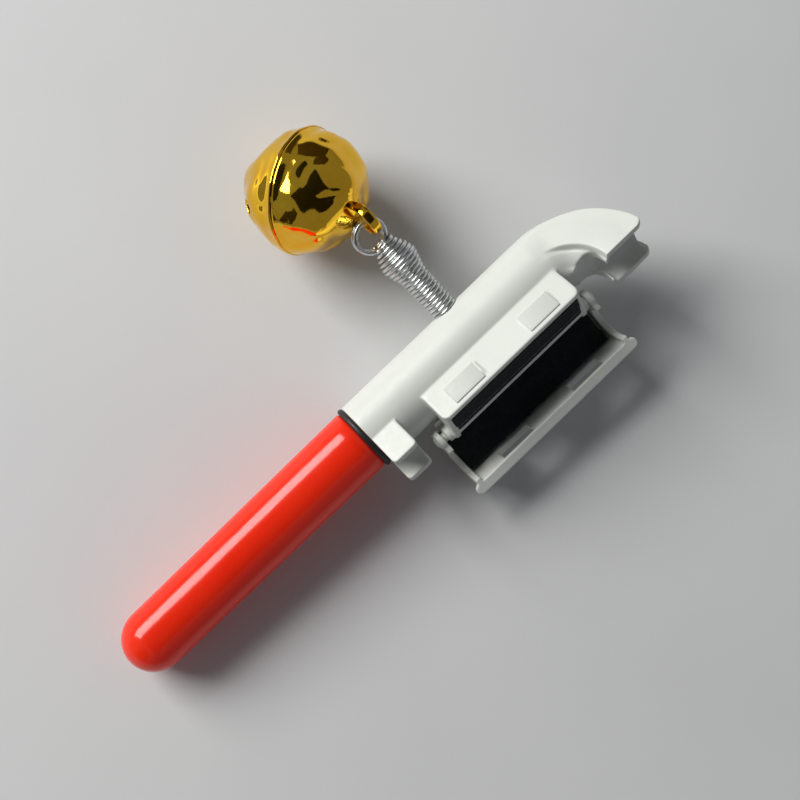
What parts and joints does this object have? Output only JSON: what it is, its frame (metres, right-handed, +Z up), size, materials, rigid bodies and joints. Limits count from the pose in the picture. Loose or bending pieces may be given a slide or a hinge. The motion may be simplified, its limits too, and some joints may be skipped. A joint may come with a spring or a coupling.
{
  "type": "fishing rod bite alarm",
  "caption": "Clip-on bite alarm for a fishing rod's tip: a red screw-in light tube, a foam-lined snap clamp with a saddle, and a bell on a barrel spring.",
  "frame": {"origin": "centre of the resting object's outline seen from above, on the table", "axes": "+X along the tube from the light to the saddle, tilted up 3.2 degrees; +Y towards the bell; +Z up from the table"},
  "size_m": [0.1276, 0.0788, 0.025],
  "materials": {
    "white_plastic": "satin moulded ABS",
    "natural_plastic": "satin",
    "red_plastic": "translucent, glossy",
    "black_foam": "closed-cell EVA foam, matte",
    "black_rubber": "satin",
    "bell_gold": "gold-lacquered, mirror bright",
    "spring_wire": "bright zinc",
    "pellet_steel": "tumbled",
    "cell_steel": "nickel plated",
    "brass": "pressed, bright",
    "tinned_wire": "tinned",
    "circuit_board": "solder mask",
    "ceramic": "lacquered"
  },
  "bodies": {
    "housing": {"body_shell": "white_plastic", "fixed_jaw_pad": "black_foam", "battery_can": "brass", "cell_front": "cell_steel", "cell_rear": "cell_steel", "can_insulator": "natural_plastic", "contact_spring": "spring_wire", "spring_anchor": "brass"},
    "tray": {"clamp_tray": "white_plastic", "tray_pad": "black_foam"},
    "seal": {"seal_ring": "black_rubber"},
    "light": {"light_tube": "red_plastic", "led_holder": "natural_plastic", "led_bulb": "red_plastic", "led_leads": "tinned_wire", "led_board": "circuit_board", "led_resistor": "ceramic", "contact_stud": "brass"},
    "spring_lower": {"spring_root": "spring_wire"},
    "spring_upper": {"spring_barrel": "spring_wire", "spring_hook": "spring_wire"},
    "bell": {"bell_upper_shell": "bell_gold", "bell_lower_shell": "bell_gold", "bell_eye": "bell_gold"},
    "pellet": {"bell_pellet": "pellet_steel"}
  },
  "joints": [
    {"name": "tray_hinge", "type": "hinge", "parent": "housing", "child": "tray", "pos_m": [0.02838, -0.02584, 0.01116], "axis": [0.9984, 0, 0.0558], "range_deg": [-138, 0]},
    {"name": "light_out", "type": "slide", "parent": "housing", "child": "seal", "axis": [-0.9984, 0, -0.0558], "range_m": [0, 0.003]},
    {"name": "light_turn", "type": "hinge", "parent": "seal", "child": "light", "pos_m": [-0.00157, -0.01501, 0.00948], "axis": [-0.9984, 0, -0.0558], "range_deg": [0, 720]},
    {"name": "spring_sway_up", "type": "hinge", "parent": "housing", "child": "spring_lower", "pos_m": [0.02661, -0.00716, 0.01109], "axis": [0.9997, 0.0227, 0], "range_deg": [-12, 20], "stiffness_Nm_per_rad": 0.03, "deforming": ["spring_root"]},
    {"name": "spring_sway_side", "type": "hinge", "parent": "spring_lower", "child": "spring_upper", "pos_m": [0.02646, -0.00068, 0.01235], "axis": [0.0043, -0.1908, 0.9816], "range_deg": [-20, 20], "stiffness_Nm_per_rad": 0.03, "deforming": ["spring_barrel"]},
    {"name": "bell_swing", "type": "hinge", "parent": "spring_upper", "child": "bell", "pos_m": [0.02663, 0.01459, 0.0176], "axis": [1, 0, 0], "range_deg": [-12, 30]},
    {"name": "pellet_bounce", "type": "slide", "parent": "bell", "child": "pellet", "axis": [0, 0, 1], "range_m": [0, 0.015]}
  ],
  "couplings": [
    {"joint": "light_turn", "follows": "light_out", "rad_per_m": 4188.7}
  ]
}
